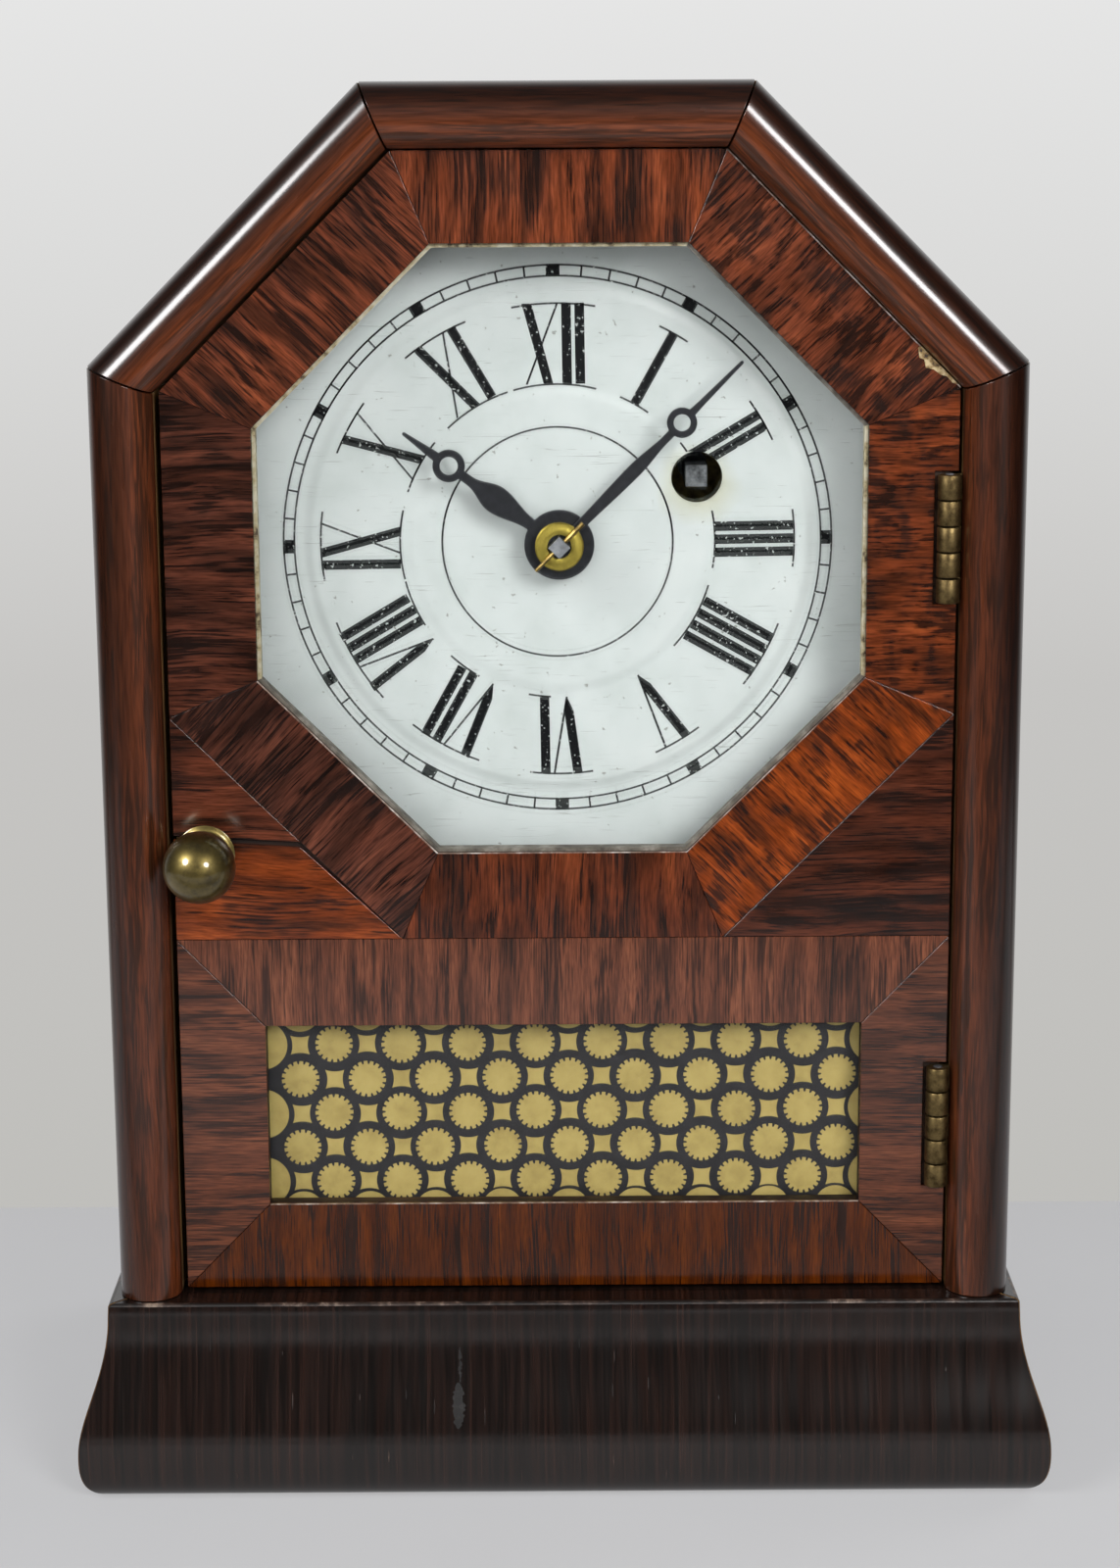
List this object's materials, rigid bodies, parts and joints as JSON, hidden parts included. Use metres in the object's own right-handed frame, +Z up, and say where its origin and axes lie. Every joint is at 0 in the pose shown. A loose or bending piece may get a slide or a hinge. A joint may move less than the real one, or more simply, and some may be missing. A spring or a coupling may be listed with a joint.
{
  "type": "cottage clock",
  "caption": "Spring-driven shelf clock in a veneered case with an octagonal top, a hinged glazed door over a painted dial, a patterned glass tablet and an ogee base.",
  "frame": {"origin": "bottom centre of the whole clock, on the surface that it stands on", "axes": "+Z up, -Y out of the dial towards the viewer, +X to the viewer's right"},
  "size_m": [0.1664, 0.0992, 0.2373],
  "materials": {
    "rosewood": "streaked rosewood veneer, varnished",
    "dark_rosewood": "dark rosewood veneer, varnished",
    "softwood": "plain planed softwood, aged",
    "brass": "tarnished brass",
    "steel": "plain steel",
    "black_steel": "black painted steel",
    "dial_paint": "off-white paint on sheet zinc, fine scratches",
    "clear_glass": "clear window glass",
    "painted_glass": "glass painted behind in gold and black"
  },
  "bodies": {
    "case": {"base_front_moulding": "dark_rosewood", "base_right_moulding": "dark_rosewood", "base_left_moulding": "dark_rosewood", "floor_board": "softwood", "case_right_column_board": "dark_rosewood", "moulding_right_column": "rosewood", "case_right_slope_board": "dark_rosewood", "moulding_right_slope": "rosewood", "case_top_board": "dark_rosewood", "moulding_top": "rosewood", "case_left_slope_board": "dark_rosewood", "moulding_left_slope": "rosewood", "case_left_column_board": "dark_rosewood", "moulding_left_column": "rosewood", "back_board": "softwood", "hinge_upper_case_leaf": "brass", "hinge_upper_pin": "steel", "hinge_lower_case_leaf": "brass", "hinge_lower_pin": "steel", "latch_keeper": "brass", "dial_plate": "dial_paint", "dial_cleat_left": "softwood", "dial_cleat_right": "softwood", "front_plate": "brass", "back_plate": "brass", "pillar_lower_left": "steel", "pillar_lower_right": "steel", "pillar_upper_left": "steel", "pillar_upper_right": "steel", "movement_board": "softwood", "mainspring": "steel", "escape_bridge": "brass", "suspension_cock": "brass"},
    "door": {"door_frame": "softwood", "door_veneer": "rosewood", "door_glass": "clear_glass", "tablet_glass": "painted_glass", "hinge_upper_door_leaf": "brass", "hinge_lower_door_leaf": "brass", "knob_rosette": "brass"},
    "knob": {"door_knob": "brass", "latch_tongue": "brass"},
    "minute_arbor": {"centre_arbor": "steel", "minute_hand": "black_steel", "hand_washer": "brass", "hand_pin": "brass"},
    "minute_wheel": {"minute_wheel": "brass"},
    "hour_pipe": {"hour_wheel": "brass", "hour_hand": "black_steel"},
    "third_wheel": {"third_wheel": "brass"},
    "centre_wheel": {"centre_wheel": "brass"},
    "great_wheel": {"great_wheel": "brass"},
    "escape_wheel": {"escape_wheel": "brass"},
    "winding_arbor": {"winding_arbor": "steel"},
    "click": {"click": "steel"},
    "pendulum": {"pendulum_rod": "steel"},
    "bob": {"pendulum_bob": "brass"},
    "rating_nut": {"rating_nut": "brass"},
    "verge": {"verge": "steel"}
  },
  "joints": [
    {"name": "door_swing", "type": "hinge", "parent": "case", "child": "door", "pos_m": [0.0636, -0.0354, 0.11365], "axis": [0, 0, 1], "range_deg": [0, 110]},
    {"name": "knob_turn", "type": "hinge", "parent": "door", "child": "knob", "pos_m": [-0.0595, -0.0344, 0.1114], "axis": [0, 1, 0], "range_deg": [0, 90]},
    {"name": "minute_hand_turn", "type": "hinge", "parent": "case", "child": "minute_arbor", "pos_m": [0, -0.0264, 0.1618], "axis": [0, 1, 0], "continuous": true},
    {"name": "minute_wheel_turn", "type": "hinge", "parent": "case", "child": "minute_wheel", "pos_m": [0.006, -0.0064, 0.1514], "axis": [0, 1, 0], "continuous": true},
    {"name": "hour_hand_turn", "type": "hinge", "parent": "case", "child": "hour_pipe", "pos_m": [0, -0.0254, 0.1618], "axis": [0, 1, 0], "continuous": true},
    {"name": "third_wheel_turn", "type": "hinge", "parent": "case", "child": "third_wheel", "pos_m": [-0.004, 0.0046, 0.1823], "axis": [0, 1, 0], "continuous": true},
    {"name": "centre_wheel_turn", "type": "hinge", "parent": "case", "child": "centre_wheel", "pos_m": [0, 0.0096, 0.1618], "axis": [0, 1, 0], "continuous": true},
    {"name": "great_wheel_turn", "type": "hinge", "parent": "case", "child": "great_wheel", "pos_m": [0.0231, 0.0166, 0.1724], "axis": [0, 1, 0], "continuous": true},
    {"name": "escape_wheel_turn", "type": "hinge", "parent": "case", "child": "escape_wheel", "pos_m": [-0.009, -0.0039, 0.1996], "axis": [0, 1, 0], "continuous": true},
    {"name": "winding_turn", "type": "hinge", "parent": "great_wheel", "child": "winding_arbor", "pos_m": [0.0231, 0.0136, 0.1724], "axis": [0, 1, 0], "continuous": true},
    {"name": "click_lift", "type": "hinge", "parent": "great_wheel", "child": "click", "pos_m": [0.0335, 0.0136, 0.1724], "axis": [0, 1, 0], "range_deg": [0, 12]},
    {"name": "pendulum_swing", "type": "hinge", "parent": "case", "child": "pendulum", "pos_m": [-0.009, -0.0134, 0.2178], "axis": [0, 1, 0], "range_deg": [-4, 4]},
    {"name": "verge_rock", "type": "hinge", "parent": "case", "child": "verge", "pos_m": [-0.009, -0.0084, 0.2131], "axis": [0, 1, 0], "range_deg": [-4.5, 4.5]},
    {"name": "bob_slide", "type": "slide", "parent": "pendulum", "child": "bob", "axis": [0, 0, 1], "range_m": [-0.0014, 0.0014]},
    {"name": "rating_nut_turn", "type": "hinge", "parent": "bob", "child": "rating_nut", "pos_m": [-0.009, -0.0134, 0.0604], "axis": [0, 0, 1], "range_deg": [-730, 730]}
  ],
  "couplings": [
    {"joint": "minute_wheel_turn", "follows": "minute_hand_turn", "ratio": -0.33333},
    {"joint": "hour_hand_turn", "follows": "minute_hand_turn", "ratio": 0.083333},
    {"joint": "centre_wheel_turn", "follows": "third_wheel_turn", "ratio": -0.090909},
    {"joint": "great_wheel_turn", "follows": "third_wheel_turn", "ratio": 0.011364},
    {"joint": "escape_wheel_turn", "follows": "third_wheel_turn", "ratio": -11},
    {"joint": "verge_rock", "follows": "pendulum_swing", "ratio": 1.077},
    {"joint": "rating_nut_turn", "follows": "bob_slide", "rad_per_m": 8976}
  ]
}
